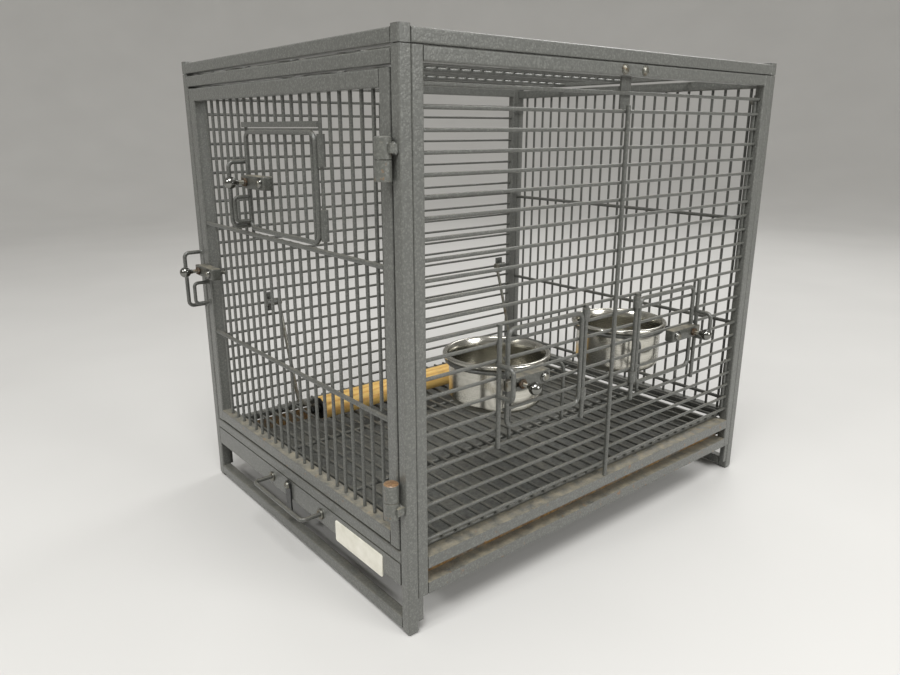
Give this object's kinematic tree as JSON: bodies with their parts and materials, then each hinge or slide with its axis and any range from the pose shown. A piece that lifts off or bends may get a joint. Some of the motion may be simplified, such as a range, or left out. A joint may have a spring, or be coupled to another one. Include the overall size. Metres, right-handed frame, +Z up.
{
  "type": "wire pet travel cage",
  "caption": "Boxy wire pet cage with tube frames, hinged front door with an access door in it, latched feeder doors with steel cups, slide-out tray and a swing-up perch.",
  "frame": {"origin": "on the floor, under the middle of the whole outline with the latch knobs included", "axes": "+Z up, front door towards -Y, feeder doors towards +X"},
  "size_m": [0.401, 0.5084, 0.454],
  "materials": {
    "frame_coat": "dark grey hammertone powder coat",
    "wire_coat": "grey powder coat, dusty",
    "zinc": "dull zinc plating",
    "knob_chrome": "polished",
    "cup_steel": "satin stainless",
    "tray_steel": "worn coat with rust",
    "plate": "blank label plate",
    "pine": "bare turned pine"
  },
  "bodies": {
    "cage": {"corner_posts": "frame_coat", "side_posts": "frame_coat", "front_rails": "frame_coat", "back_rails": "frame_coat", "right_rails": "wire_coat", "left_rails": "wire_coat", "roof_rails": "frame_coat", "roof_corners": "frame_coat", "roof_grille": "wire_coat", "feet": "frame_coat", "corner_clips": "wire_coat", "clip_bolts": "zinc", "back_grille": "wire_coat", "left_grille": "wire_coat", "right_grille_long": "wire_coat", "right_grille_short": "wire_coat", "right_middle_rod": "wire_coat", "top_strap": "wire_coat", "strap_screws": "zinc", "floor_grate": "wire_coat", "post_knuckles": "wire_coat", "hinge_pins": "zinc", "door_keeper": "wire_coat", "feeder_keepers": "wire_coat", "cup_rings": "wire_coat", "perch_clamps": "wire_coat"},
    "tray": {"tray_pan": "tray_steel", "tray_front": "frame_coat", "tray_handle": "zinc", "tray_plate": "plate", "tray_latch_screw": "zinc"},
    "tray_latch": {"tray_latch": "wire_coat"},
    "main_door": {"door_stiles": "frame_coat", "door_rails": "frame_coat", "door_bars_lower": "wire_coat", "door_bars_upper": "wire_coat", "access_header": "wire_coat", "door_knuckles": "wire_coat", "door_staple": "wire_coat", "access_keeper": "wire_coat", "door_hood": "wire_coat", "door_hood_screw": "zinc"},
    "access_door": {"access_door": "wire_coat", "access_hood": "wire_coat", "access_hood_screw": "zinc"},
    "feeder_door_1": {"feeder_1_door": "wire_coat", "feeder_1_hood": "wire_coat", "feeder_1_hood_screw": "zinc"},
    "feeder_door_2": {"feeder_2_door": "wire_coat", "feeder_2_hood": "wire_coat", "feeder_2_hood_screw": "zinc"},
    "door_bolt": {"door_bolt": "knob_chrome"},
    "access_bolt": {"access_bolt": "knob_chrome"},
    "feeder_bolt_1": {"feeder_1_bolt": "knob_chrome"},
    "feeder_bolt_2": {"feeder_2_bolt": "knob_chrome"},
    "cup_1": {"cup_1": "cup_steel"},
    "cup_2": {"cup_2": "cup_steel"},
    "perch": {"perch": "pine", "perch_arms": "zinc", "perch_fittings": "zinc"}
  },
  "joints": [
    {"name": "main_door_hinge", "type": "hinge", "parent": "cage", "child": "main_door", "pos_m": [0.1625, -0.23025, 0.251], "axis": [0, 0, 1], "range_deg": [0, 160]},
    {"name": "access_door_hinge", "type": "hinge", "parent": "main_door", "child": "access_door", "pos_m": [0.0605, -0.21775, 0.344], "axis": [0, 0, 1], "range_deg": [0, 120]},
    {"name": "feeder_door_1_hinge", "type": "hinge", "parent": "cage", "child": "feeder_door_1", "pos_m": [0.1715, -0.02525, 0.1912], "axis": [0, 0, 1], "range_deg": [0, 90]},
    {"name": "feeder_door_2_hinge", "type": "hinge", "parent": "cage", "child": "feeder_door_2", "pos_m": [0.1715, 0.04725, 0.1912], "axis": [0, 0, -1], "range_deg": [0, 90]},
    {"name": "main_door_bolt_slide", "type": "slide", "parent": "main_door", "child": "door_bolt", "axis": [-1, 0, 0], "range_m": [0, 0.013]},
    {"name": "access_door_bolt_slide", "type": "slide", "parent": "access_door", "child": "access_bolt", "axis": [-1, 0, 0], "range_m": [0, 0.013]},
    {"name": "feeder_1_bolt_slide", "type": "slide", "parent": "feeder_door_1", "child": "feeder_bolt_1", "axis": [0, -1, 0], "range_m": [0, 0.013]},
    {"name": "feeder_2_bolt_slide", "type": "slide", "parent": "feeder_door_2", "child": "feeder_bolt_2", "axis": [0, 1, 0], "range_m": [0, 0.013]},
    {"name": "tray_slide", "type": "slide", "parent": "cage", "child": "tray", "axis": [0, -1, 0], "range_m": [0, 0.43]},
    {"name": "tray_latch_pivot", "type": "hinge", "parent": "tray", "child": "tray_latch", "pos_m": [-0.0215, -0.22505, 0.0569], "axis": [0, 1, 0], "range_deg": [-90, 90]},
    {"name": "perch_swing", "type": "hinge", "parent": "cage", "child": "perch", "pos_m": [-0.187, 0.03125, 0.198], "axis": [0, 1, 0], "range_deg": [-110, 0]},
    {"name": "cup_1_lift", "type": "slide", "parent": "cage", "child": "cup_1", "axis": [0, 0, 1], "range_m": [0, 0.08]},
    {"name": "cup_2_lift", "type": "slide", "parent": "cage", "child": "cup_2", "axis": [0, 0, 1], "range_m": [0, 0.08]}
  ]
}
